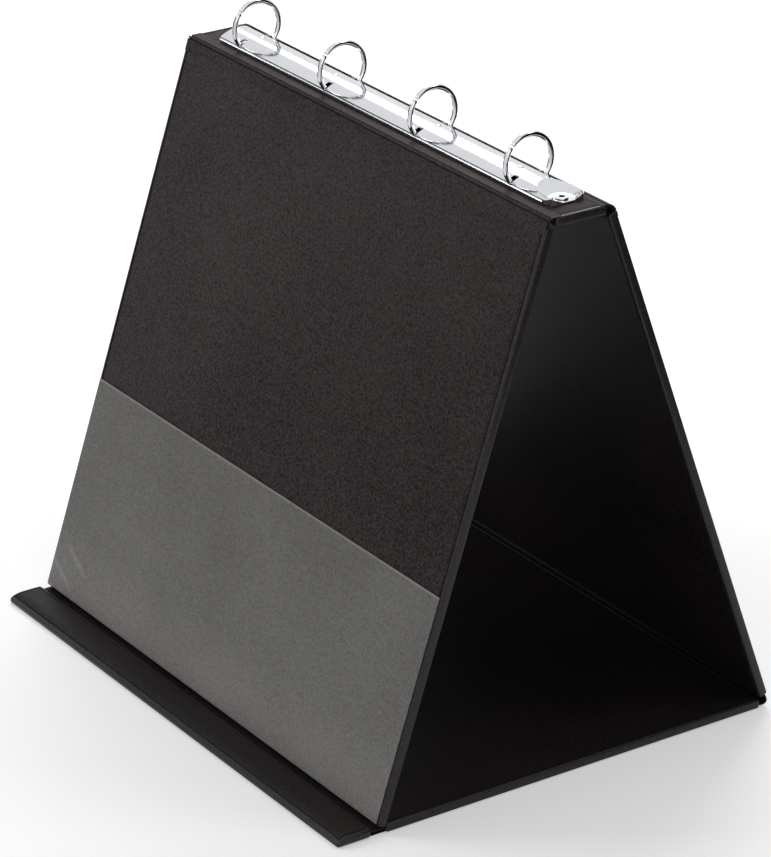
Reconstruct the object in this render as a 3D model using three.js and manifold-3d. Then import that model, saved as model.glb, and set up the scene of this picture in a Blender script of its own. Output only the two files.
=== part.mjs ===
// Display ring binder: a binder cover of five foil-covered boards that stands as a tent on a table.
// The base lies flat, the back panel rises from its rear edge, the narrow spine lies on top with the
// ring mechanism, and the front panel slopes down to a groove between the base and a narrow ledge.
// Millimetres, +Z up, the front faces -Y, the origin is the middle of the base's underside.
import * as THREE from "three";
import { mergeVertices } from "three/addons/utils/BufferGeometryUtils.js";
import Module from "manifold-3d";

// The stand as a whole
const standWidth = 320; // every panel's length along the spine
const standHeight = 297; // upper face of the spine above the table
const standDepth = 242; // front panel's foot to the corner of the rear fold
const spineSetback = 96; // front corner of the spine behind the foot
const spineWidth = 38; // corner to corner of the two upper folds
const ledgeDepth = 19.5; // ledge in front of the groove

// The make-up of a panel
const panelThickness = 5; // both foils and the board between them
const foilThickness = 0.6;
const clearance = 0.3; // between pieces that touch
const edgeRadius = 1.2; // rounding of the welded edges
const seamInset = 2.4; // weld seam from the panel's edge
const seamWidth = 1.2; // pressed line of the weld on the outer foil
const seamDepth = 0.25;

// The film folds between the panels
const filmThickness = 0.8;
const foldDepth = 1.6; // fold line below the lining's face
const upperFoldEase = 3.2; // bare film from the fold line to a panel, at the spine
const rearFoldEase = 5.4; // the same at the sharper fold behind the base
const footFrontGap = 3.5; // ledge to the front panel's foot
const footRearGap = 0.5; // foot to the base
const filmInset = 1; // film's ends inside the panels' ends

// The clear pocket on the front panel
const pocketHeight = 118;
const pocketThickness = 0.4;
const pocketSeam = 3; // bottom weld above the panel's lower edge
const pocketInset = 1.5; // side welds inside the panel's ends

// The ring mechanism
const ringCount = 4;
const firstRingMargin = 35.6; // first ring from the far end of the spine
const lastRingMargin = 44.4; // last ring from its near end, which leaves a pitch of 80
const mechanismShift = 1; // mechanism's centre line behind the spine's
const ringRadius = 13.4; // centre line of the wire
const wireRadius = 1.4;
const ringCentreHeight = 11.4; // above the spine
const ringMeetAngle = 138; // where two halves meet, from the rear round over the top
const ringMeetGap = 0.3;
const plateFarLength = 17.5; // plate beyond the first ring
const plateNearLength = 32.5; // plate beyond the last ring
const plateWidth = 22.6;
const plateSheet = 0.8;
const plateSideHeight = 2.8;
const plateCrownHeight = 6.2;
const plateFlange = 2.6; // turned-in rim that carries a blade
const slotLength = 5.5; // from the plate's rim inward
const slotClearance = 0.4; // beside the wire
const slotFloor = 1.6; // lower end of a slot above the spine
const pipRadius = 1.9;
const pipRise = 0.7;
const pipOffsets = [4.5, -6.3, 4.4, -6.6]; // pressed pips beside the four rings
const bladeSheet = 0.8;
const bladePivotHeight = 1.75;
const bladePivotInset = 1.4; // pivot line inside the plate's rim
const bladeOverhang = 0.3; // blade beyond its pivot line
const bladeMeetGap = 0.5; // between the two blades
const bladeTilt = 6; // both blades sag to the middle while the rings are closed
const bladeEndSetback = 8; // blade's ends inside the plate's far end
const plateCornerRadius = 5; // rounding of the near end, seen from above
const scoopRadius = 14.6; // conical scoop at the near end, where it meets the crown
const scoopFloorRadius = 6.5; // its flat floor reaches the plate's end
const scoopEndSetback = 5.7; // its centre inside the plate's near end
const tabLength = 6; // floor tab under the plate's far end
const tabEndSetback = 0.5;

// The two eyelet rivets
const rivetRadius = 2.2;
const rivetBore = 1.5;
const rivetHeadRadius = 3.4;
const rivetHeadHeight = 0.5;

// Facets
const cornerSteps = 3;
const filmSteps = 10;
const crownSteps = 16;
const wireSides = 10;
const wireStepAngle = 11;
const roundSides = 24;

const wasm = await Module();
wasm.setup();

const radians = THREE.MathUtils.degToRad;

const liningFinish = { color: 0x2f2b2b, roughness: 0.75, metalness: 0 };
const foilFinish = { color: 0x161617, roughness: 0.5, metalness: 0 };
const boardFinish = { color: 0x7d7466, roughness: 0.95, metalness: 0 };
const pocketFinish = { color: 0x5f5d5c, roughness: 0.3, metalness: 0 };
const chromeFinish = { color: 0xd4d6d8, roughness: 0.12, metalness: 1 };

// A closed geometry as a solid for cutting and joining
function solid(geometry) {
  geometry.deleteAttribute("normal");
  geometry.deleteAttribute("uv");
  const merged = mergeVertices(geometry, 1e-4);
  const vertProperties = merged.attributes.position.array;
  const triVerts = new Uint32Array(merged.index.array);
  return new wasm.Manifold(new wasm.Mesh({ numProp: 3, vertProperties, triVerts }));
}

// A solid as a named mesh
function piece(name, made, finish) {
  const mesh = made.getMesh();
  const geometry = new THREE.BufferGeometry();
  geometry.setAttribute("position", new THREE.BufferAttribute(mesh.vertProperties, mesh.numProp));
  geometry.setIndex(new THREE.BufferAttribute(mesh.triVerts, 1));
  geometry.computeVertexNormals();
  const result = new THREE.Mesh(geometry, new THREE.MeshStandardMaterial(finish));
  result.name = name;
  return result;
}

// A box between two corners
function block(x0, x1, y0, y1, z0, z1) {
  const geometry = new THREE.BoxGeometry(x1 - x0, y1 - y0, z1 - z0);
  geometry.translate((x0 + x1) / 2, (y0 + y1) / 2, (z0 + z1) / 2);
  return solid(geometry);
}

// A section drawn in Y and Z, drawn out along X
function along(shape, x0, x1) {
  const geometry = new THREE.ExtrudeGeometry(shape, {
    depth: x1 - x0,
    bevelEnabled: false,
    curveSegments: crownSteps,
  });
  geometry.translate(0, 0, x0);
  geometry.applyMatrix4(new THREE.Matrix4().set(0, 0, 1, 0, 1, 0, 0, 0, 0, 1, 0, 0, 0, 0, 0, 1));
  return solid(geometry);
}

// A turned solid about a vertical axis at x, y
function turned(profile, x, y) {
  const points = profile.map(([r, z]) => new THREE.Vector2(r, z));
  points.push(points[0].clone());
  const geometry = new THREE.LatheGeometry(points, roundSides);
  geometry.rotateX(Math.PI / 2);
  geometry.translate(x, y, 0);
  return solid(geometry);
}

// A rectangle with rounded corners
function roundedRectangle(width, height, radius) {
  const shape = new THREE.Shape();
  shape.absarc(width - radius, radius, radius, -Math.PI / 2, 0);
  shape.absarc(width - radius, height - radius, radius, 0, Math.PI / 2);
  shape.absarc(radius, height - radius, radius, Math.PI / 2, Math.PI);
  shape.absarc(radius, radius, radius, Math.PI, Math.PI * 1.5);
  return shape;
}

// A flat slab with all its edges rounded, from the lining's face at z = 0 up
function roundedSlab(length) {
  const options = { bevelEnabled: false, curveSegments: cornerSteps };
  const side = roundedRectangle(length, panelThickness, edgeRadius);
  const lengthwise = new THREE.ExtrudeGeometry(side, { ...options, depth: standWidth });
  lengthwise.translate(0, 0, -standWidth / 2);
  lengthwise.applyMatrix4(new THREE.Matrix4().set(0, 0, 1, 0, 1, 0, 0, 0, 0, 1, 0, 0, 0, 0, 0, 1));
  const end = roundedRectangle(standWidth, panelThickness, edgeRadius);
  const crosswise = new THREE.ExtrudeGeometry(end, { ...options, depth: length });
  crosswise.rotateX(Math.PI / 2);
  crosswise.translate(-standWidth / 2, length, 0);
  return solid(lengthwise).intersect(solid(crosswise));
}

// A rectangle of one panel, inset from its four edges, between two heights
function inset(length, margin, z0, z1) {
  const half = standWidth / 2 - margin;
  return block(-half, half, margin, length - margin, z0, z1);
}

// The outer foil: it wraps the board's edges and is welded to the lining along a seam
function coverFoil(length) {
  const inner = panelThickness - foilThickness;
  const groove = inset(length, seamInset, panelThickness - seamDepth, panelThickness + 1);
  const field = inset(length, seamInset + seamWidth, panelThickness - 1, panelThickness + 2);
  return roundedSlab(length)
    .subtract(inset(length, foilThickness, foilThickness, inner))
    .subtract(inset(length, seamInset, -1, foilThickness * 1.5))
    .subtract(groove.subtract(field));
}

// The board between the foils
function board(length) {
  const margin = foilThickness + clearance;
  return inset(length, margin, margin, panelThickness - margin);
}

// The lining inside the weld seam
function lining(length) {
  return inset(length, seamInset + clearance, 0, foilThickness);
}

// Interior angles of the tent and the lengths that they leave
const frontLean = Math.atan2(standHeight - panelThickness, spineSetback);
const rearLean = Math.atan2(standHeight, standDepth - spineSetback - spineWidth);
const frontAngle = Math.PI - frontLean; // between the spine and the front panel
const backAngle = Math.PI - rearLean; // between the spine and the back panel

// Distance along a panel from a fold's outer corner to the panel's edge
function foldMargin(angle, ease) {
  return ease + foldDepth / Math.tan(angle / 2);
}
const frontMargin = foldMargin(frontAngle, upperFoldEase);
const backMargin = foldMargin(backAngle, upperFoldEase);
const rearMargin = foldMargin(rearLean, rearFoldEase);

// The foot stands on the groove's film by its rear corner
const grooveFilmHeight = (panelThickness + filmThickness) / 2;
const footSeat = grooveFilmHeight + clearance;
const footDrop = panelThickness * Math.cos(frontLean);
const slopeLength = (standHeight - footSeat - footDrop) / Math.sin(frontLean);
const footFront = spineSetback - slopeLength * Math.cos(frontLean);
const footRear = footFront + panelThickness * Math.sin(frontLean);
const rearCorner = new THREE.Vector2(standDepth, 0);
const backCorner = new THREE.Vector2(spineSetback + spineWidth, standHeight);
const frontCorner = new THREE.Vector2(spineSetback, standHeight);
const backSlope = rearCorner.distanceTo(backCorner);

// Each panel: where its lining face starts, its heading and its length
const ledgeRear = footFront - footFrontGap;
const baseFront = footRear + footRearGap;
const baseRear = standDepth - rearMargin;
const backHeading = Math.PI - rearLean;
const frontHeading = Math.PI + frontLean;
const panels = {
  ledge: { corner: new THREE.Vector2(ledgeRear - ledgeDepth, 0), heading: 0, margin: 0, length: ledgeDepth },
  base: { corner: new THREE.Vector2(baseFront, 0), heading: 0, margin: 0, length: baseRear - baseFront },
  back: {
    corner: rearCorner,
    heading: backHeading,
    margin: rearMargin,
    length: backSlope - rearMargin - backMargin,
  },
  spine: {
    corner: backCorner,
    heading: Math.PI,
    margin: backMargin,
    length: spineWidth - backMargin - frontMargin,
  },
  front: {
    corner: frontCorner,
    heading: frontHeading,
    margin: frontMargin,
    length: slopeLength - frontMargin,
  },
};

// A point of the section, from a corner along a heading and then in from the lining's face
function sectionPoint(corner, heading, distance, depth) {
  const y = corner.x + distance * Math.cos(heading) - depth * Math.sin(heading);
  const z = corner.y + distance * Math.sin(heading) + depth * Math.cos(heading);
  return new THREE.Vector2(y, z);
}

// A strip of film along a curve of the section
function film(curve) {
  const points = curve.getPoints(filmSteps);
  const half = filmThickness / 2;
  const sides = [1, -1].map((side) =>
    points.map((point, i) => {
      const tangent = curve.getTangent(i / filmSteps);
      return new THREE.Vector2(point.x - side * half * tangent.y, point.y + side * half * tangent.x);
    }),
  );
  const shape = new THREE.Shape([...sides[1], ...sides[0].reverse()]);
  return along(shape, filmInset - standWidth / 2, standWidth / 2 - filmInset);
}

// The film round a fold's corner, from one panel's edge to the next one's
function cornerFilm(corner, headingIn, marginIn, headingOut, marginOut) {
  const start = sectionPoint(corner, headingIn, clearance - marginIn, foldDepth);
  const end = sectionPoint(corner, headingOut, marginOut - clearance, foldDepth);
  return film(new THREE.QuadraticBezierCurve(start, corner, end));
}

const model = new THREE.Group();
const originDepth = (baseFront + baseRear) / 2;
model.position.y = -originDepth;

// The mechanism's places along the spine
const firstRing = firstRingMargin - standWidth / 2;
const lastRing = standWidth / 2 - lastRingMargin;
const ringPitch = (lastRing - firstRing) / (ringCount - 1);
const ringPlaces = Array.from({ length: ringCount }, (_, i) => firstRing + i * ringPitch);
const plateFarEnd = firstRing - plateFarLength;
const plateNearEnd = lastRing + plateNearLength;
const scoopPlace = plateNearEnd - scoopEndSetback;
const tabPlace = plateFarEnd + tabEndSetback + tabLength / 2;
const mechanismCentre = spineSetback + spineWidth / 2 + mechanismShift;
const rivetHole = rivetRadius + clearance;

// The five panels, each with its lining, board and outer foil
const panelGroups = {};
for (const [name, { corner, heading, margin, length }] of Object.entries(panels)) {
  const group = new THREE.Group();
  const start = sectionPoint(corner, heading, margin, 0);
  group.position.set(0, start.x, start.y);
  group.rotation.x = heading;
  const layers = { lining: lining(length), board: board(length), cover_foil: coverFoil(length) };
  const finishes = { lining: liningFinish, board: boardFinish, cover_foil: foilFinish };
  for (const [layer, made] of Object.entries(layers)) {
    let cut = made;
    if (name === "spine") {
      const rivetLine = start.x - mechanismCentre;
      for (const place of [tabPlace, scoopPlace]) {
        const drill = [[0, -1], [rivetHole, -1], [rivetHole, panelThickness + 1], [0, panelThickness + 1]];
        cut = cut.subtract(turned(drill, place, rivetLine));
      }
    }
    group.add(piece(`${name}_${layer}`, cut, finishes[layer]));
  }
  panelGroups[name] = group;
  model.add(group);
}

// The clear pocket, welded to the lower part of the front panel
const pocketHalf = standWidth / 2 - pocketInset;
const frontLength = panels.front.length;
const pocket = block(
  -pocketHalf,
  pocketHalf,
  frontLength - pocketHeight,
  frontLength - pocketSeam,
  -clearance - pocketThickness,
  -clearance,
);
panelGroups.front.add(piece("front_pocket", pocket, pocketFinish));

// The four folds
const grooveStart = new THREE.Vector2(ledgeRear + clearance, panelThickness / 2);
const grooveEnd = new THREE.Vector2(baseFront - clearance, panelThickness / 2);
model.add(piece("ledge_fold", film(new THREE.LineCurve(grooveStart, grooveEnd)), foilFinish));
const folds = {
  rear_fold: cornerFilm(rearCorner, 0, rearMargin, backHeading, rearMargin),
  upper_back_fold: cornerFilm(backCorner, backHeading, backMargin, Math.PI, backMargin),
  upper_front_fold: cornerFilm(frontCorner, Math.PI, frontMargin, frontHeading, frontMargin),
};
for (const [name, made] of Object.entries(folds)) model.add(piece(name, made, foilFinish));

// The ring mechanism stands on the spine
const mechanism = new THREE.Group();
mechanism.position.set(0, mechanismCentre, standHeight);
model.add(mechanism);

// Section of the plate: an arch with sides, and rims turned in below
const plateHalf = plateWidth / 2;
const archRise = plateCrownHeight - plateSideHeight;
const archRadius = (plateHalf ** 2 + archRise ** 2) / (2 * archRise);
const archCentre = plateCrownHeight - archRadius;
function archAngle(half, radius) {
  return Math.asin(half / radius);
}

// The outline under the arch, drawn at a distance inside the plate's outer face
function plateOutline(shape, depth) {
  const half = plateHalf - depth;
  const radius = archRadius - depth;
  const angle = archAngle(half, radius);
  shape.absarc(0, archCentre, radius, Math.PI / 2 - angle, Math.PI / 2 + angle);
}
const filledSection = new THREE.Shape();
filledSection.moveTo(-plateHalf, clearance);
filledSection.lineTo(plateHalf, clearance);
plateOutline(filledSection, 0);
const hollowHalf = plateHalf - plateSheet;
const hollowSection = new THREE.Shape();
hollowSection.moveTo(-hollowHalf, clearance + plateSheet);
hollowSection.lineTo(hollowHalf, clearance + plateSheet);
plateOutline(hollowSection, plateSheet);
const rimGap = plateHalf - plateFlange;
const floorTop = clearance + plateSheet;

// The plate's outline from above, at a distance inside its sides: only the near end is rounded
function roundedEnd(depth) {
  const length = plateNearEnd - plateFarEnd + plateCornerRadius * 2;
  const radius = plateCornerRadius - depth;
  const shape = roundedRectangle(length, 2 * (plateHalf - depth), radius);
  const geometry = new THREE.ExtrudeGeometry(shape, {
    depth: plateCrownHeight + 1,
    bevelEnabled: false,
    curveSegments: cornerSteps,
  });
  geometry.translate(plateNearEnd - depth - length, depth - plateHalf, 0);
  return solid(geometry);
}
const filledPlate = along(filledSection, plateFarEnd, plateNearEnd).intersect(roundedEnd(0));
const underside = block(plateFarEnd - 1, plateNearEnd + 1, -rimGap, rimGap, 0, floorTop + 1);
let plate = filledPlate.subtract(
  along(hollowSection, plateFarEnd - 1, plateNearEnd + 1).add(underside).intersect(roundedEnd(plateSheet)),
);

// A slot for each ring's two feet, and a pressed pip beside each ring
const slotHalf = wireRadius + slotClearance;
const slotCentre = plateHalf - slotLength + slotHalf;
for (const place of ringPlaces) {
  for (const side of [-1, 1]) {
    const reach = [side * slotCentre, side * (plateHalf + 1)].sort((a, b) => a - b);
    const top = plateCrownHeight + 1;
    const round = [[0, slotFloor], [slotHalf, slotFloor], [slotHalf, top], [0, top]];
    plate = plate
      .subtract(block(place - slotHalf, place + slotHalf, reach[0], reach[1], slotFloor, top))
      .subtract(turned(round, place, side * slotCentre));
  }
}
ringPlaces.forEach((place, i) => {
  const pip = new THREE.SphereGeometry(pipRadius, 12, 8);
  pip.scale(1, 1, (pipRise + plateSheet / 2) / pipRadius);
  pip.translate(place + pipOffsets[i], 0, plateCrownHeight - plateSheet / 2);
  plate = plate.add(solid(pip));
});

// The scoop at the near end goes down to the spine, where a rivet holds it
const scoopSpread = (scoopRadius - scoopFloorRadius) / (plateCrownHeight - floorTop);
const scoopWall = plateSheet * Math.hypot(1, scoopSpread);
function cone(bottom, top, wall) {
  const reach = (height) => scoopFloorRadius + scoopSpread * (height - floorTop) + wall;
  return turned([[0, bottom], [reach(bottom), bottom], [reach(top), top], [0, top]], scoopPlace, 0);
}
const dishTop = plateCrownHeight + 1;
const pressing = cone(clearance, dishTop, scoopWall);
const hole = [[0, 0], [rivetHole, 0], [rivetHole, floorTop + 1], [0, floorTop + 1]];
plate = plate.add(pressing.intersect(filledPlate)).subtract(cone(floorTop, dishTop, 0));

// The floor tab under the far end joins the two rims and takes the other rivet
const tabFar = plateFarEnd + tabEndSetback;
plate = plate.add(block(tabFar, tabFar + tabLength, -hollowHalf, hollowHalf, clearance, floorTop));
plate = plate.subtract(turned(hole, scoopPlace, 0)).subtract(turned(hole, tabPlace, 0));
mechanism.add(piece("ring_plate", plate, chromeFinish));

// The two blades swing on the plate's rims and carry the ring halves
const bladePivot = plateHalf - bladePivotInset;
const bladeReach = bladePivot - bladeMeetGap / 2;
const bladeFarEnd = plateFarEnd + bladeEndSetback;
const bladeNearEnd = scoopPlace - scoopRadius - clearance;
const bladeTop = bladePivotHeight + bladeSheet / 2;
for (const [name, side] of [["blade_front", -1], ["blade_back", 1]]) {
  const group = new THREE.Group();
  group.position.set(0, side * bladePivot, bladePivotHeight);
  group.rotation.x = side * radians(bladeTilt);
  const reach = [-side * bladeReach, side * bladeOverhang].sort((a, b) => a - b);
  const strip = block(bladeFarEnd, bladeNearEnd, reach[0], reach[1], -bladeSheet / 2, bladeSheet / 2);
  group.add(piece(name, strip, chromeFinish));
  mechanism.add(group);
}

// An arc of ring wire in the plane across the spine
class RingArc extends THREE.Curve {
  constructor(from, to) {
    super();
    this.from = from;
    this.to = to;
  }
  getPoint(t, target = new THREE.Vector3()) {
    const angle = this.from + (this.to - this.from) * t;
    return target.set(0, ringRadius * Math.cos(angle), ringCentreHeight + ringRadius * Math.sin(angle));
  }
}

// The ring halves: the wire ends on its blade and meets the other half above
const wireSection = new THREE.Shape();
wireSection.absarc(0, 0, wireRadius, 0, Math.PI * 2);
const footAngle = Math.asin((ringCentreHeight - bladeTop) / ringRadius) + radians(wireStepAngle / 2);
const meetHalfGap = ringMeetGap / 2 / ringRadius;
const wireFoot = bladeTop + clearance;
const halves = {
  ring_front: { from: radians(ringMeetAngle) + meetHalfGap, to: Math.PI + footAngle },
  ring_back: { from: -footAngle, to: radians(ringMeetAngle) - meetHalfGap },
};
for (const [name, { from, to }] of Object.entries(halves)) {
  ringPlaces.forEach((place, i) => {
    const wire = new THREE.ExtrudeGeometry(wireSection, {
      steps: Math.ceil((to - from) / radians(wireStepAngle)),
      curveSegments: wireSides,
      extrudePath: new RingArc(from, to),
    });
    const reach = ringRadius + wireRadius + 1;
    const above = block(-reach, reach, -reach, reach, wireFoot, ringCentreHeight + reach);
    const half = piece(`${name}_${i + 1}`, solid(wire).intersect(above), chromeFinish);
    half.position.x = place;
    mechanism.add(half);
  });
}

// The eyelet rivets through the plate and the spine
const headFoot = floorTop + clearance;
const tailTop = -panelThickness - clearance;
const eyelet = [
  [rivetBore, tailTop - rivetHeadHeight],
  [rivetHeadRadius, tailTop - rivetHeadHeight],
  [rivetHeadRadius, tailTop],
  [rivetRadius, tailTop],
  [rivetRadius, headFoot],
  [rivetHeadRadius, headFoot],
  [rivetHeadRadius, headFoot + rivetHeadHeight],
  [rivetBore, headFoot + rivetHeadHeight],
];
mechanism.add(piece("rivet_near", turned(eyelet, scoopPlace, 0), chromeFinish));
mechanism.add(piece("rivet_far", turned(eyelet, tabPlace, 0), chromeFinish));

export default model;
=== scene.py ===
from math import asin, atan2, ceil, cos, pi, radians, sin

import bmesh
import bpy
from mathutils import Matrix, Vector
from mathutils.geometry import interpolate_bezier, intersect_line_line


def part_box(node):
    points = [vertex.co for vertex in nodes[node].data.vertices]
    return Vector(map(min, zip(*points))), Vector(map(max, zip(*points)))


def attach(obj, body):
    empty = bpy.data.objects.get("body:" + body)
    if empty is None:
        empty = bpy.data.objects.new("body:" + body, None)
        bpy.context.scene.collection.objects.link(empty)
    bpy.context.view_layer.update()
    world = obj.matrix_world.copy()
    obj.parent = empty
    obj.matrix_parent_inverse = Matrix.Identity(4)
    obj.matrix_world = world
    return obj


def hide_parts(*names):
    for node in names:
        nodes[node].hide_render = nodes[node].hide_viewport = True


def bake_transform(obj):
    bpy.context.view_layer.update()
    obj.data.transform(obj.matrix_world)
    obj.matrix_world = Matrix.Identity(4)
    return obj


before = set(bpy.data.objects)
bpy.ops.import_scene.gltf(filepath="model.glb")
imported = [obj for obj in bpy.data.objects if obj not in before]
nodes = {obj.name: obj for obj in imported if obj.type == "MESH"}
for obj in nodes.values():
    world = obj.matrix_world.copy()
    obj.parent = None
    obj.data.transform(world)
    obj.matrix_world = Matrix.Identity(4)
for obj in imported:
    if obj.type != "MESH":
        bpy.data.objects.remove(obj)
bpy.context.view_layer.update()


# Camera
# It looks down on the front and the near end, from the photograph's side.
# The focal length and the image height are counted in pixels.
IMAGE_HEIGHT = 857
FOCAL_PIXELS = 4192
SENSOR = 36.0
CLIP_END = 20
AZIMUTH = radians(56.0)
ELEVATION = radians(24.1)
CAMERA_DISTANCE = 2.1443
CAMERA_TARGET = Vector((0, -0.0075, 0.1275))

to_camera = Vector(
    (sin(AZIMUTH) * cos(ELEVATION), -cos(AZIMUTH) * cos(ELEVATION), sin(ELEVATION))
)
camera_data = bpy.data.cameras.new("camera")
camera_data.sensor_width = SENSOR
camera_data.lens = FOCAL_PIXELS / IMAGE_HEIGHT * SENSOR
camera_data.clip_end = CLIP_END
camera = bpy.data.objects.new("camera", camera_data)
camera.location = CAMERA_TARGET + to_camera * CAMERA_DISTANCE
camera.rotation_euler = to_camera.to_track_quat("Z", "Y").to_euler()
bpy.context.scene.collection.objects.link(camera)
bpy.context.scene.camera = camera


# Studio
# A pale floor that runs up to nothing. One lamp stands at the left, one high behind the binder,
# a weaker one at the right and a faint one beside the camera.
WHITE = (1, 1, 1, 1)
WORLD_LIGHT = 0.38
FLOOR_SIZE = 8
FLOOR_DROP = 0.0002
FLOOR_TINT = (0.86, 0.86, 0.86, 1)
FLOOR_GLOW = 0.32


class Shade:
    """A shader's socket, wrapped so that shader maths is written as Python expressions."""

    def __init__(self, tree, socket):
        self.tree = tree
        self.socket = socket

    def node(self, kind, settings, **inputs):
        """A new node; an input is given by its name, or as i0, i1 and so on by its place."""
        made = self.tree.nodes.new(kind)
        for key, value in settings.items():
            setattr(made, key, value)
        for key, value in inputs.items():
            target = made.inputs[int(key[1:]) if key[1:].isdigit() else key]
            if isinstance(value, Shade):
                self.tree.links.new(value.socket, target)
            else:
                target.default_value = value
        return made

    def math(self, operation, *others):
        inputs = {f"i{i}": value for i, value in enumerate((self, *others))}
        made = self.node("ShaderNodeMath", {"operation": operation}, **inputs)
        return Shade(self.tree, made.outputs[0])

    def __add__(self, other):
        return self.math("ADD", other)

    def __sub__(self, other):
        return self.math("SUBTRACT", other)

    def __mul__(self, other):
        return self.math("MULTIPLY", other)

    def __rsub__(self, other):
        return self * -1 + other

    __radd__ = __add__
    __rmul__ = __mul__

    def ramp(self, low, high):
        """0 up to the low value, 1 from the high value on, and even between them."""
        made = self.node(
            "ShaderNodeMapRange", {"clamp": True}, i0=self, i1=low, i2=high, i3=0.0, i4=1.0
        )
        return Shade(self.tree, made.outputs[0])

    def mix(self, first, second):
        """A colour between two, where this value is 0 and where it is 1."""
        made = self.node("ShaderNodeMix", {"data_type": "RGBA"}, i0=self, i6=first, i7=second)
        return Shade(self.tree, made.outputs[2])

    def noise(self, scale, detail, roughness):
        made = self.node(
            "ShaderNodeTexNoise", {}, Vector=self, Scale=scale, Detail=detail, Roughness=roughness
        )
        return Shade(self.tree, made.outputs["Fac"])

    def cells(self, scale):
        """Distance to the edge of the nearest cell in a pattern of cells."""
        made = self.node(
            "ShaderNodeTexVoronoi", {"feature": "DISTANCE_TO_EDGE"}, Vector=self, Scale=scale
        )
        return Shade(self.tree, made.outputs["Distance"])

    def painted(self, attribute):
        """A value that the mesh carries at its points."""
        made = self.node("ShaderNodeAttribute", {"attribute_name": attribute})
        return Shade(self.tree, made.outputs["Fac"])

    def part(self, axis):
        """One coordinate of a place."""
        made = self.node("ShaderNodeSeparateXYZ", {}, Vector=self)
        return Shade(self.tree, made.outputs[axis])


def new_finish(name, **constants):
    """A material with a Principled shader; returns it, the shader and the object's place."""
    material = bpy.data.materials.new(name)
    material.use_nodes = True
    tree = material.node_tree
    shader = tree.nodes["Principled BSDF"]
    for key, value in constants.items():
        shader.inputs[key.replace("_", " ")].default_value = value
    place = Shade(tree, tree.nodes.new("ShaderNodeTexCoord").outputs["Object"])
    return material, shader, place


def feed(shader, name, shade):
    """Link a value to one input of a shader."""
    shade.tree.links.new(shade.socket, shader.inputs[name])


def seen_directly(tree):
    """1 for rays that show the background itself or show it in chrome or film."""
    path = tree.nodes.new("ShaderNodeLightPath")
    total = Shade(tree, path.outputs["Is Camera Ray"])
    for name in ("Is Glossy Ray", "Is Transmission Ray"):
        total = total.math("MAXIMUM", Shade(tree, path.outputs[name]))
    return total


world = bpy.data.worlds.new("studio")
bpy.context.scene.world = world
world.use_nodes = True
sky = world.node_tree.nodes["Background"]
sky_light = seen_directly(world.node_tree)
sky.inputs["Color"].default_value = WHITE
feed(sky, "Strength", WORLD_LIGHT + sky_light * (1 - WORLD_LIGHT))

floor_mesh = bpy.data.meshes.new("floor")
floor_form = bmesh.new()
bmesh.ops.create_grid(floor_form, x_segments=1, y_segments=1, size=FLOOR_SIZE / 2)
bmesh.ops.translate(floor_form, vec=(0, 0, -FLOOR_DROP), verts=floor_form.verts)
floor_form.to_mesh(floor_mesh)
floor_form.free()
floor = bpy.data.objects.new("floor", floor_mesh)
bpy.context.scene.collection.objects.link(floor)
floor_finish, floor_shader = new_finish("floor", Roughness=0.9)[:2]
floor_shader.inputs["Base Color"].default_value = FLOOR_TINT
floor_shader.inputs["Emission Color"].default_value = WHITE
feed(floor_shader, "Emission Strength", seen_directly(floor_finish.node_tree) * FLOOR_GLOW)
floor_mesh.materials.append(floor_finish)

LAMP_AIM = (0, 0, 0.15)


def lamp(name, place, size, power):
    """A rectangular soft lamp, turned towards the binder's middle."""
    data = bpy.data.lights.new(name, "AREA")
    data.shape = "RECTANGLE"
    data.size, data.size_y = size
    data.energy = power
    made = bpy.data.objects.new(name, data)
    made.location = place
    made.rotation_euler = (Vector(place) - Vector(LAMP_AIM)).to_track_quat("Z", "Y").to_euler()
    bpy.context.scene.collection.objects.link(made)


lamp("key", place=(-1.5, -1.5, 1.1), size=(1.0, 1.2), power=17)
lamp("fill", place=(1.9, -0.9, 0.9), size=(1.0, 1.0), power=2.2)
lamp("top", place=(-1.3, 1.0, 1.6), size=(1.1, 1.1), power=20)
lamp("rim", place=(0.9, 1.1, 1.7), size=(0.5, 0.5), power=5)

# Dark cards stand round the stage, out of the picture, and only chrome and gloss reflect them.
CARD_STEPS = 24
CARD_TINT = (0.004, 0.004, 0.004, 1)
card_finish, card_shader = new_finish("dark_card", Roughness=1.0)[:2]
card_shader.inputs["Base Color"].default_value = CARD_TINT
card_shader.inputs["Specular IOR Level"].default_value = 0


def dark_card(name, start, end, radius, height):
    """An upright arc round the stage; its angles are counted from the camera's side."""
    form = bmesh.new()
    bearing = atan2(to_camera.y, to_camera.x) + radians(start)
    first = form.verts.new((radius, 0, 0))
    bmesh.ops.rotate(
        form, cent=(0, 0, 0), matrix=Matrix.Rotation(bearing, 3, "Z"), verts=[first]
    )
    bmesh.ops.spin(
        form, geom=[first], cent=(0, 0, 0), axis=(0, 0, 1), dvec=(0, 0, 0),
        angle=radians(end - start), space=Matrix.Identity(4), steps=CARD_STEPS,
        use_merge=False, use_duplicate=False,
    )
    raised = bmesh.ops.extrude_edge_only(form, edges=form.edges[:])
    top = [item for item in raised["geom"] if isinstance(item, bmesh.types.BMVert)]
    bmesh.ops.translate(form, vec=(0, 0, height), verts=top)
    mesh = bpy.data.meshes.new(name)
    form.to_mesh(mesh)
    form.free()
    mesh.materials.append(card_finish)
    card = bpy.data.objects.new(name, mesh)
    bpy.context.scene.collection.objects.link(card)
    card.visible_camera = False
    card.visible_diffuse = False
    card.visible_shadow = False


dark_card("right_card", start=45, end=120, radius=0.6, height=0.75)
dark_card("left_card", start=-115, end=-75, radius=0.6, height=0.55)
dark_card("rear_card", start=140, end=225, radius=1.5, height=0.4)


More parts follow.
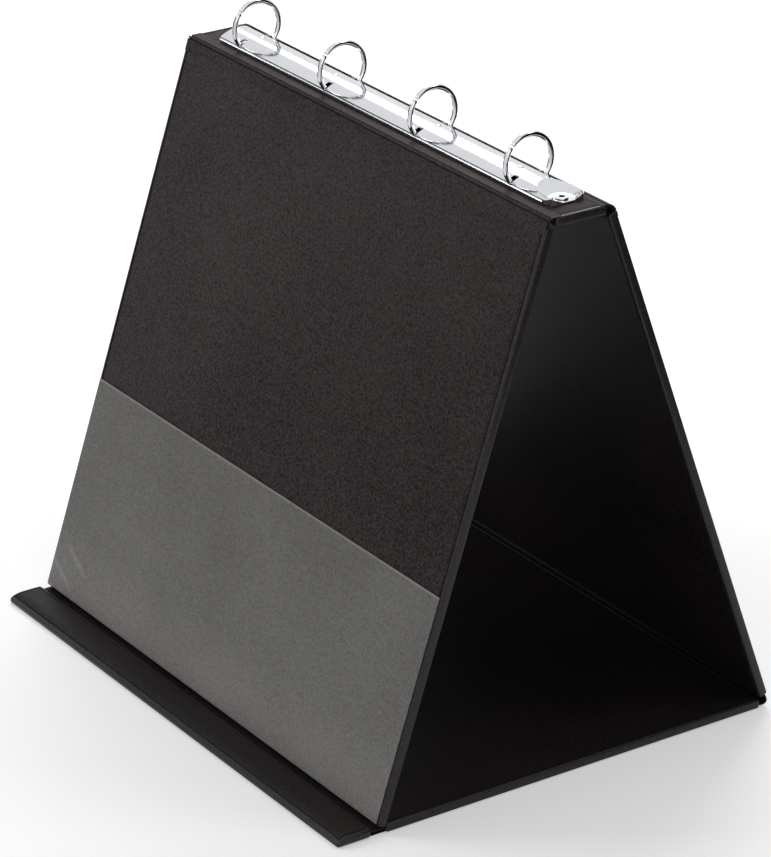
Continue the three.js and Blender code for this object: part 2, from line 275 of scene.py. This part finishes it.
# Finishes of the cover
# Thin grained vinyl: the lining is brown-black and dull; the outer foil is the same brown-black
# vinyl, smoother, and painted blacker as painted shade.
# A row of small ribs is pressed into the lining beside the seam, at the near and far ends, with
# painted shade in their pits.
MM = 0.001
GRAIN = 780
PIT_CELLS = 800
PRESS_STRENGTH = 0.6
RIB_LINE = 156.2 * MM
RIB_HALF = 0.35 * MM
RIB_PITCH = 1.1 * MM
RIB_PAINTED_SHADE = 1.5
RIB_DEPTH = 2
SEAM_PAINTED_SHADE = 3
RIM_GLOSS = 0.4
ROUGHNESS_SPREAD = 0.16


def colour(red, green, blue):
    """A colour written as the eye reads it on a screen, from 0 to 255."""
    def linear(value):
        share = value / 255
        return share / 12.92 if share <= 0.04045 else ((share + 0.055) / 1.055) ** 2.4

    return (linear(red), linear(green), linear(blue), 1.0)


def press(shader, height, strength, distance):
    """Bump from a height, in which a step of 1 stands for the distance in metres."""
    bump = height.node(
        "ShaderNodeBump", {}, Strength=strength, Distance=distance, Height=height
    )
    feed(shader, "Normal", Shade(height.tree, bump.outputs[0]))


def grained_vinyl(name, dark, light, roughness, grain_depth, ribbed):
    """Vinyl with a fine grain, either ribbed as lining or pressed at its seam as foil."""
    finish, shader, place = new_finish(name, Specular_IOR_Level=0.1, Coat_Roughness=0.3)
    fine = place.noise(scale=GRAIN, detail=4.0, roughness=0.7)
    broad = place.noise(scale=9, detail=2.0, roughness=0.5)
    tint = (fine * 0.85 + broad * 0.15).ramp(0.4, 0.6)
    pits = place.cells(PIT_CELLS).ramp(0.0, 0.35)
    height = fine * 0.5 + pits * 0.5
    if ribbed:
        across = (place.part("X").math("ABSOLUTE") - RIB_LINE).math("ABSOLUTE")
        line = 1 - across.ramp(RIB_HALF * 0.7, RIB_HALF)
        ribs = ((place.part("Y") + place.part("Z")) * (2 * pi / RIB_PITCH)).math("SINE")
        dots = line * (ribs * 0.5 + 0.5)
        # Painted shade darkens the lining in the pits between the ribs.
        tint = tint - dots * RIB_PAINTED_SHADE
        height = height - dots * RIB_DEPTH
    else:
        # The foil is smooth where it is drawn round a board's edge, and painted shade makes it
        # black in the seam's groove and in the recess round the lining.
        tint = tint - place.painted("seam") * SEAM_PAINTED_SHADE
        bare = 1 - place.painted("seam")
        feed(shader, "Coat Weight", place.painted("rim") * bare * RIM_GLOSS)
    feed(shader, "Base Color", tint.mix(dark, light))
    feed(shader, "Roughness", roughness + fine * ROUGHNESS_SPREAD - ROUGHNESS_SPREAD / 2)
    press(shader, height, PRESS_STRENGTH, grain_depth)
    return finish


lining_finish = grained_vinyl(
    "lining_vinyl", dark=colour(18, 12, 12), light=colour(66, 57, 58),
    roughness=0.62, grain_depth=0.08 * MM, ribbed=True,
)
# The foil's colour is painted darker than the lining's, as painted shade for the binder's shaded
# inside.
foil_painted_shade_finish = grained_vinyl(
    "cover_foil_vinyl_painted_shade", dark=colour(6, 4, 4), light=colour(43, 37, 37),
    roughness=0.5, grain_depth=0.06 * MM, ribbed=False,
)


# Panels
# Each panel is a board in a wrap of foil, which is drawn round the board's edges.
# The lining is a second sheet, welded to the foil along a pressed seam.
SEAM_INSET = 2.4 * MM
SEAM_HALF_WIDTH = 0.5 * MM
SEAM_DEPTH = 0.5 * MM
FOIL = 0.6 * MM
GAP = 0.3 * MM
PANELS = ("ledge", "base", "back", "spine", "front")
EDGE_ROUND = {panel: 1.1 * MM for panel in PANELS}
EDGE_ROUND["ledge"] = 1.7 * MM
EDGE_STEPS = 4
RECESS_WALL = 0.05 * MM
LINING_ROUND = 0.22 * MM
LINING_STEPS = 2
INNER_SIDE = -1
OUTER_SIDE = 1


def lying_frame(panel):
    """The panel's own frame, with its lining face at z = 0, and its width, length, thickness."""
    def centre(node):
        low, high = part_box(node)
        return (low + high) / 2

    mesh = nodes[f"{panel}_board"].data
    normal = max(mesh.polygons, key=lambda face: face.area).normal.copy()
    if normal.dot(centre(f"{panel}_lining") - centre(f"{panel}_board")) > 0:
        normal.negate()
    normal.x = 0
    normal.normalize()
    heading = normal.cross(Vector((1, 0, 0)))
    turned = Matrix((Vector((1, 0, 0)), heading, normal)).transposed()
    points = [turned.transposed() @ v.co for v in nodes[f"{panel}_cover_foil"].data.vertices]
    low = Vector(min(point[axis] for point in points) for axis in range(3))
    high = Vector(max(point[axis] for point in points) for axis in range(3))
    start = turned @ Vector(((low.x + high.x) / 2, low.y, low.z))
    return Matrix.Translation(start) @ turned.to_4x4(), high - low


def slab(size, inset_by, bottom, top):
    """A block lying in a panel's frame, inset from the panel's four edges."""
    form = bmesh.new()
    bmesh.ops.create_cube(form, size=1)
    spread = (size.x - 2 * inset_by, size.y - 2 * inset_by, top - bottom)
    bmesh.ops.scale(form, vec=spread, verts=form.verts)
    bmesh.ops.translate(form, vec=(0, size.y / 2, (bottom + top) / 2), verts=form.verts)
    return form


def round_edges(form, radius, steps):
    form.normal_update()
    bmesh.ops.bevel(
        form, geom=form.edges[:], offset=radius, segments=steps, profile=0.5,
        affect="EDGES", material=-1,
    )


def finish_piece(name, form, material, body, stands_for, smooth_angle=40):
    """A form becomes a piece with smooth faces and sharp edges, on its body if it has one."""
    form.normal_update()
    for face in form.faces:
        face.smooth = True
    for edge in form.edges:
        edge.smooth = edge.calc_face_angle(0) < radians(smooth_angle)
    mesh = bpy.data.meshes.new(name)
    form.to_mesh(mesh)
    form.free()
    mesh.materials.append(material)
    made = bpy.data.objects.new(name, mesh)
    bpy.context.scene.collection.objects.link(made)
    if body:
        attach(made, body)
    if stands_for:
        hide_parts(*stands_for)
    return made


def flat_face(form, side):
    """The large face of a lying form on its inner side, with the lining, or on its outer side."""
    facing = [face for face in form.faces if face.normal.z * side > 0.9]
    return max(facing, key=lambda face: face.calc_area())


CUT_TOLERANCE = 1e-7
TAPER_REACH = 8 * MM
TAPER_CUTS = (0.4, 0.6, 0.8, 1)
TAPER = 0.42


def cut_across(form, y):
    """A row of points across a form, where it can then change its shape."""
    bmesh.ops.bisect_plane(
        form, geom=form.verts[:] + form.edges[:] + form.faces[:], dist=CUT_TOLERANCE,
        plane_co=(0, y, 0), plane_no=(0, 1, 0),
    )


def taper(form):
    """The ledge thins out towards its front edge; the form lies in the ledge's own frame."""
    for share in TAPER_CUTS:
        cut_across(form, share * TAPER_REACH)
    for vert in form.verts:
        if vert.co.z > FOIL:
            near_edge = max(0, 1 - vert.co.y / TAPER_REACH)
            vert.co.z *= 1 - TAPER * near_edge**2


frames = {}
for panel in PANELS:
    place, size = lying_frame(panel)
    frames[panel] = (place, size)
    edge_round = EDGE_ROUND[panel]
    wrap = slab(size, 0, 0, size.z)
    round_edges(wrap, edge_round, EDGE_STEPS)
    wrap.normal_update()
    seam = wrap.verts.layers.float.new("seam")
    rim = wrap.verts.layers.float.new("rim")
    for vert in wrap.verts:
        vert[rim] = 1
    # Each step sets in one side's large face: how far, how deep, and 1 where painted shade makes
    # it black.
    steps = (
        (OUTER_SIDE, SEAM_INSET - SEAM_HALF_WIDTH - edge_round, 0, 0),
        (OUTER_SIDE, SEAM_HALF_WIDTH, -SEAM_DEPTH, 1),
        (OUTER_SIDE, SEAM_HALF_WIDTH, SEAM_DEPTH, 0),
        (INNER_SIDE, SEAM_INSET - edge_round, 0, 0),
        (INNER_SIDE, RECESS_WALL, -FOIL - RECESS_WALL, 1),
    )
    for side, thickness, depth, pressed in steps:
        bmesh.ops.inset_individual(
            wrap, faces=[flat_face(wrap, side)], thickness=thickness, depth=depth
        )
        for vert in flat_face(wrap, side).verts:
            vert[rim] = 0
            vert[seam] = pressed
    if panel == "ledge":
        taper(wrap)
    bmesh.ops.transform(wrap, matrix=place, verts=wrap.verts)
    finish_piece(
        f"{panel}_wrap", wrap, foil_painted_shade_finish, panel, [f"{panel}_cover_foil"]
    )
    sheet = slab(size, SEAM_INSET + GAP, 0, FOIL)
    round_edges(sheet, LINING_ROUND, LINING_STEPS)
    bmesh.ops.transform(sheet, matrix=place, verts=sheet.verts)
    finish_piece(
        f"{panel}_lining_sheet", sheet, lining_finish, panel, [f"{panel}_lining"]
    )


# Boards
# Grey board stiffens each panel and keeps the CAD shape in four of them.
# The ledge's board is made anew, because it thins out with the ledge.
MERGE_REACH = 0.001 * MM


def merged_copy(node):
    """The form of a CAD node with its loose triangles joined."""
    form = bmesh.new()
    form.from_mesh(nodes[node].data)
    bmesh.ops.remove_doubles(form, verts=form.verts, dist=MERGE_REACH)
    return form


board_finish, board_shader, board_place = new_finish("grey_board", Roughness=0.95)
fibres = board_place.noise(scale=700, detail=4.0, roughness=0.65)
feed(board_shader, "Base Color", fibres.mix(colour(112, 104, 92), colour(140, 132, 118)))
press(board_shader, fibres, 0.3, 0.1 * MM)
for panel in ("base", "back", "spine", "front"):
    nodes[f"{panel}_board"].data.materials.clear()
    nodes[f"{panel}_board"].data.materials.append(board_finish)
ledge_core = merged_copy("ledge_board")
ledge_place = frames["ledge"][0]
bmesh.ops.transform(ledge_core, matrix=ledge_place.inverted(), verts=ledge_core.verts)
taper(ledge_core)
bmesh.ops.transform(ledge_core, matrix=ledge_place, verts=ledge_core.verts)
finish_piece("ledge_core", ledge_core, board_finish, "ledge", ["ledge_board"])


# Folds
# Between two panels the two foils are welded to one film without a board.
# The film keeps the shape of the CAD fold.
FOLDS = {
    "ledge_fold": ("ledge", "base"),
    "rear_fold": ("base", "back"),
    "upper_back_fold": ("back", "spine"),
    "upper_front_fold": ("spine", "front"),
}
FLAT_ANGLE = radians(0.5)
BEND_SHARE = 0.9
LEDGE_BEND = 1.6 * MM
BEND_STEPS = 6
ledge_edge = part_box("ledge_cover_foil")[1].y


def cut_for_bend(film):
    """Rows of points across a film beside the ledge's edge, where the ledge turns."""
    for step in range(BEND_STEPS + 1):
        cut_across(film, ledge_edge + LEDGE_BEND * step / BEND_STEPS)


for node, (first, second) in FOLDS.items():
    strip = merged_copy(node)
    bmesh.ops.dissolve_limit(
        strip, angle_limit=FLAT_ANGLE, verts=strip.verts, edges=strip.edges
    )
    low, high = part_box(node)
    middle = (low + high) / 2
    if node == "ledge_fold":
        # The ledge turns at its own edge, so this film is cut into rows there and lies flat
        # beyond.
        cut_for_bend(strip)
        bend_start = Vector((0, ledge_edge, middle.z))
        bend_end = bend_start + Vector((0, LEDGE_BEND, 0))
    else:
        towards = {}
        for body in (first, second):
            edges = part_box(f"{body}_board")
            towards[body] = ((edges[0] + edges[1]) / 2 - middle).normalized()
        reach = (high - low).yz.length / 2
        bend_start = middle + towards[first] * reach * BEND_SHARE
        bend_end = middle + towards[second] * reach * BEND_SHARE
    made = finish_piece(f"{node}_film", strip, foil_painted_shade_finish, None, [node])
    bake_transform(made)


# Underside of the ledge's groove
# The foil runs on below the groove, so that the ledge and the base stand in one line.
# It reaches under the edges of both panels and is cut into rows at the ledge's edge.
GROOVE_FILM = 0.4 * MM
GROOVE_LIFT = 0.1 * MM
base_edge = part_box("base_cover_foil")[0].y
half_length = frames["base"][1].x / 2 - EDGE_ROUND["ledge"]
foot_hold = EDGE_ROUND["base"]
groove_height = GROOVE_LIFT + GROOVE_FILM / 2
strip = bmesh.new()
bmesh.ops.create_cube(strip, size=1)
bmesh.ops.scale(
    strip, vec=(2 * half_length, base_edge - ledge_edge + 2 * foot_hold, GROOVE_FILM),
    verts=strip.verts,
)
bmesh.ops.translate(
    strip, vec=(0, (ledge_edge + base_edge) / 2, groove_height), verts=strip.verts
)
cut_for_bend(strip)
made = finish_piece("ledge_fold_under", strip, foil_painted_shade_finish, None, None, 60)
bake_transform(made)


# Creased film of the upper folds
# The lining runs on as a bare film over both edges of the spine.
# It is creased on either side of each corner.
FILM_LIFT = 0.14 * MM
FILM_UNDER = 0.03 * MM
FILM_OVERLAP = 0.5 * MM
FILM_END = 0.4 * MM
CREASE_DEPTH = 0.9 * MM
CREASE_STEPS = 6
CREASE_FULLNESS = 0.7
CORNER_PULL = 0.55
CORNER_STEPS = 8
# Panels beside each fold, reach of the corner's rounding and the two creases' widths.
CREASES = {
    "upper_back_fold": ("back", "spine", 3.8 * MM, 0.8 * MM, 0.8 * MM),
    "upper_front_fold": ("spine", "front", 0.5 * MM, 1.7 * MM, 1.0 * MM),
}


def film_line(panel, lift):
    """Where a panel's face starts, the way along it, and the way out of it."""
    place = frames[panel][0]
    turn = place.to_3x3()
    outward = -turn.col[2]
    return place.translation + outward * lift, turn.col[1].copy(), outward


def creased_side(corner, along, outward, corner_reach, width, length):
    """Points from the corner's rounding through a crease to the film's end on a panel."""
    points = []
    for step in range(1, CREASE_STEPS + 1):
        share = step / CREASE_STEPS
        depth = CREASE_DEPTH * sin(pi * share) ** CREASE_FULLNESS
        points.append(corner + along * (corner_reach + width * share) - outward * depth)
    points.append(corner + along * length)
    return points


def fold_profile(first, second, corner_reach, width_in, width_out, lift):
    """Section of the film from the first panel round the corner to the second one."""
    start, heading, outward = film_line(first, lift)
    next_start, next_heading, next_outward = film_line(second, lift)
    corner = intersect_line_line(
        start, start + heading, next_start, next_start + next_heading
    )[0]
    film_length = SEAM_INSET + GAP + FILM_OVERLAP
    length_in = (corner - start).length - frames[first][1].y + film_length
    length_out = (next_start - corner).length + film_length
    incoming = creased_side(corner, -heading, outward, corner_reach, width_in, length_in)
    outgoing = creased_side(
        corner, next_heading, next_outward, corner_reach, width_out, length_out
    )
    tip_in = corner - heading * corner_reach
    tip_out = corner + next_heading * corner_reach
    knob_in = tip_in.lerp(corner, CORNER_PULL)
    knob_out = tip_out.lerp(corner, CORNER_PULL)
    round_tip = interpolate_bezier(tip_in, knob_in, knob_out, tip_out, CORNER_STEPS)
    return incoming[::-1] + round_tip + outgoing


for node, (first, second, *crease) in CREASES.items():
    half_width = frames[first][1].x / 2 - FILM_END
    outer = fold_profile(first, second, *crease, FILM_LIFT)
    inner = fold_profile(first, second, *crease, FILM_UNDER)
    film = bmesh.new()
    outline = outer + inner[::-1]
    section = [film.verts.new((-half_width, point.y, point.z)) for point in outline]
    strips = []
    for i in range(len(outer) - 1):
        quad = (section[i], section[i + 1], section[-2 - i], section[-1 - i])
        strips.append(film.faces.new(quad))
    grown = bmesh.ops.extrude_face_region(film, geom=strips, use_keep_orig=True)
    ends = [item for item in grown["geom"] if isinstance(item, bmesh.types.BMVert)]
    bmesh.ops.translate(film, vec=(2 * half_width, 0, 0), verts=ends)
    bmesh.ops.recalc_face_normals(film, faces=film.faces)
    made = finish_piece(f"{node}_lining", film, lining_finish, None, None, 60)
    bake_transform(made)


# Pocket
# A hazy clear vinyl film, welded to the front panel on three sides and open at the top.
# Two wrinkles cross its lower far corner as painted highlights, and the lining's grain shows
# through it.
WRINKLE_HIGHLIGHT_SLOPE = 0.42
WRINKLE_HIGHLIGHT_HALF = 2.4 * MM
# Height of each wrinkle's painted highlight at the pocket's far end, and where it starts and
# stops from there.
WRINKLE_HIGHLIGHTS = (
    (27 * MM, 8 * MM, 34 * MM),
    (12 * MM, -3 * MM, 24 * MM),
)
WRINKLE_HIGHLIGHT_FADE_IN = 6 * MM
WRINKLE_HIGHLIGHT_FADE_OUT = 8 * MM
# The film is paler towards its foot, and a painted highlight makes it palest along its top edge.
BAND_FULL = 8 * MM
BAND_END = 34 * MM
TOP_HIGHLIGHT = 1.2 * MM
TOP_HIGHLIGHT_FADE = 0.6 * MM
FOOT_BAND = 1 * MM
pocket_finish, pocket_shader, pocket_place = new_finish(
    "pocket_vinyl", Roughness=0.28, Specular_IOR_Level=0.4, Alpha=0.66
)
POCKET_LOW, POCKET_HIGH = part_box("front_pocket")
pocket_rise = POCKET_HIGH.z - POCKET_LOW.z
rise = pocket_place.part("Z") - POCKET_LOW.z
run = pocket_place.part("X") - POCKET_LOW.x
painted_wrinkle_highlights = 0.0
# Each wrinkle is only a painted highlight: a lighter band in the film's colour.
for height, start, stop in WRINKLE_HIGHLIGHTS:
    off_line = (rise + run * WRINKLE_HIGHLIGHT_SLOPE - height).math("ABSOLUTE")
    painted_wrinkle_highlight = 1 - off_line.ramp(0.0, WRINKLE_HIGHLIGHT_HALF)
    fade_in = run.ramp(start, start + WRINKLE_HIGHLIGHT_FADE_IN)
    inside = fade_in * (1 - run.ramp(stop - WRINKLE_HIGHLIGHT_FADE_OUT, stop))
    painted_wrinkle_highlights = painted_wrinkle_highlight * inside + painted_wrinkle_highlights
haze = pocket_place.noise(scale=14, detail=3.0, roughness=0.55)
low_band = 1 - rise.ramp(BAND_FULL, BAND_END)
# Painted highlight along the film's top edge.
top_highlight = rise.ramp(pocket_rise - TOP_HIGHLIGHT, pocket_rise - TOP_HIGHLIGHT_FADE)
speckle = pocket_place.noise(scale=GRAIN, detail=3.0, roughness=0.6).ramp(0.38, 0.62)
lightness = haze.ramp(0.3, 0.7) * 0.15 + low_band * 0.2 + painted_wrinkle_highlights * 0.4
lightness = lightness + top_highlight * 0.6 + speckle * 0.34
feed(
    pocket_shader, "Base Color",
    lightness.math("MINIMUM", 1.0).mix(colour(104, 102, 100), colour(168, 166, 163)),
)
feed(pocket_shader, "Roughness", 0.26 + haze * 0.12)
press(pocket_shader, pocket_place.noise(scale=9, detail=2.0, roughness=0.5), 0.2, 0.8 * MM)
# The film's foot is moved to where the panel's edge begins to round.
pocket_form = merged_copy("front_pocket")
front_place, front_size = frames["front"]
bmesh.ops.transform(pocket_form, matrix=front_place.inverted(), verts=pocket_form.verts)
foot = max(vert.co.y for vert in pocket_form.verts)
for vert in pocket_form.verts:
    if vert.co.y > foot - FOOT_BAND:
        vert.co.y = front_size.y - EDGE_ROUND["front"]
bmesh.ops.transform(pocket_form, matrix=front_place, verts=pocket_form.verts)
finish_piece(
    "front_pocket_film", pocket_form, pocket_finish, "front", ["front_pocket"]
)


# Ring mechanism
# An arched plate of chrome-plated steel, held to the spine by two eyelets.
# Two sprung blades meet under it and carry the ring halves.
chrome_finish, chrome_shader, chrome_place = new_finish(
    "chrome", Metallic=1.0, Roughness=0.08
)
smear = chrome_place.noise(scale=60, detail=3.0, roughness=0.6)
feed(chrome_shader, "Base Color", smear.mix(colour(206, 208, 211), colour(220, 222, 225)))
feed(chrome_shader, "Roughness", 0.05 + smear * 0.07)

plate_form = merged_copy("ring_plate")
finish_piece(
    "mechanism_plate", plate_form, chrome_finish, "spine", ["ring_plate"], 30
)

# The plate's long rims are rolled outward, and the roll is open at its ends.
ROLL_RADIUS = 0.72 * MM
ROLL_HEIGHT = 1.05 * MM
ROLL_WALL = 0.25 * MM
ROLL_HOLE = 1.5 * MM
ROLL_HOLE_SLOPE = 0.01 * MM
ROLL_SIDES = 16
ROLL_END = 5.5 * MM
PLATE_LOW, PLATE_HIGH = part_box("ring_plate")
roll_middle = (PLATE_LOW.x + PLATE_HIGH.x - ROLL_END) / 2
for side, y in (("front", PLATE_LOW.y), ("back", PLATE_HIGH.y)):
    roll = bmesh.new()
    bmesh.ops.create_cone(
        roll, segments=ROLL_SIDES, cap_ends=True, radius1=ROLL_RADIUS, radius2=ROLL_RADIUS,
        depth=PLATE_HIGH.x - PLATE_LOW.x - ROLL_END,
    )
    bmesh.ops.rotate(
        roll, cent=(0, 0, 0), matrix=Matrix.Rotation(pi / 2, 3, "Y"), verts=roll.verts
    )
    caps = [face for face in roll.faces if len(face.verts) > 4]
    bmesh.ops.inset_individual(roll, faces=caps, thickness=ROLL_WALL, depth=0)
    bmesh.ops.inset_individual(roll, faces=caps, thickness=ROLL_HOLE_SLOPE, depth=-ROLL_HOLE)
    bmesh.ops.translate(
        roll, vec=(roll_middle, y, PLATE_LOW.z + ROLL_HEIGHT), verts=roll.verts
    )
    finish_piece(f"plate_roll_{side}", roll, chrome_finish, "spine", None, 50)

for node, body in (("blade_front", "rings_front"), ("blade_back", "rings_back")):
    blade = merged_copy(node)
    finish_piece(f"{node}_steel", blade, chrome_finish, body, [node], 30)
for node in ("rivet_near", "rivet_far"):
    eyelet = merged_copy(node)
    finish_piece(f"{node}_eyelet", eyelet, chrome_finish, "spine", [node], 30)


# Ring halves
# Bent wire, plated like the mechanism and narrowed at its tip.
# The long rear half passes over the top and meets the short front half.
RING_COUNT = 4
RING_RADIUS = 13.4 * MM
WIRE_RADIUS = 1.4 * MM
WIRE_SIDES = 20
SPIN_STEP = radians(4)
MEET_ANGLE = radians(138)
MEET_GAP = 0.3 * MM
TIP_SHARE = 0.6
half_gap = MEET_GAP / 2 / RING_RADIUS

for number in range(1, RING_COUNT + 1):
    low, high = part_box(f"ring_back_{number}")
    centre = Vector(
        (
            (low.x + high.x) / 2,
            high.y - RING_RADIUS - WIRE_RADIUS,
            high.z - RING_RADIUS - WIRE_RADIUS,
        )
    )
    foot_angle = asin((centre.z - low.z) / RING_RADIUS) + SPIN_STEP
    halves = {
        "back": (MEET_ANGLE - half_gap, -foot_angle),
        "front": (MEET_ANGLE + half_gap, pi + foot_angle),
    }
    for side, (start, end) in halves.items():
        wire = bmesh.new()
        bmesh.ops.create_circle(wire, segments=WIRE_SIDES, radius=WIRE_RADIUS, cap_ends=True)
        bmesh.ops.translate(wire, vec=(0, RING_RADIUS, 0), verts=wire.verts)
        bmesh.ops.rotate(
            wire, cent=(0, 0, 0), matrix=Matrix.Rotation(start, 3, "X"), verts=wire.verts
        )
        tip = wire.verts[:]
        bmesh.ops.spin(
            wire, geom=wire.faces[:], cent=(0, 0, 0), axis=(1, 0, 0), dvec=(0, 0, 0),
            angle=end - start, space=Matrix.Identity(4),
            steps=ceil(abs(end - start) / SPIN_STEP), use_merge=False, use_duplicate=False,
        )
        middle = Vector((0, cos(start), sin(start))) * RING_RADIUS
        for vert in tip:
            vert.co = middle + (vert.co - middle) * TIP_SHARE
        bmesh.ops.translate(wire, vec=centre, verts=wire.verts)
        cut = bmesh.ops.bisect_plane(
            wire, geom=wire.verts[:] + wire.edges[:] + wire.faces[:], dist=CUT_TOLERANCE,
            plane_co=(0, 0, low.z), plane_no=(0, 0, -1), clear_outer=True,
        )
        rim = [item for item in cut["geom_cut"] if isinstance(item, bmesh.types.BMEdge)]
        bmesh.ops.edgeloop_fill(wire, edges=rim)
        bmesh.ops.recalc_face_normals(wire, faces=wire.faces)
        name = f"ring_{side}_{number}"
        finish_piece(
            f"{name}_wire", wire, chrome_finish, f"rings_{side}", [name], 50
        )


# Colour and finish
# The view settings stay plain, so that a colour renders as it is written.
bpy.context.scene.view_settings.view_transform = "Standard"
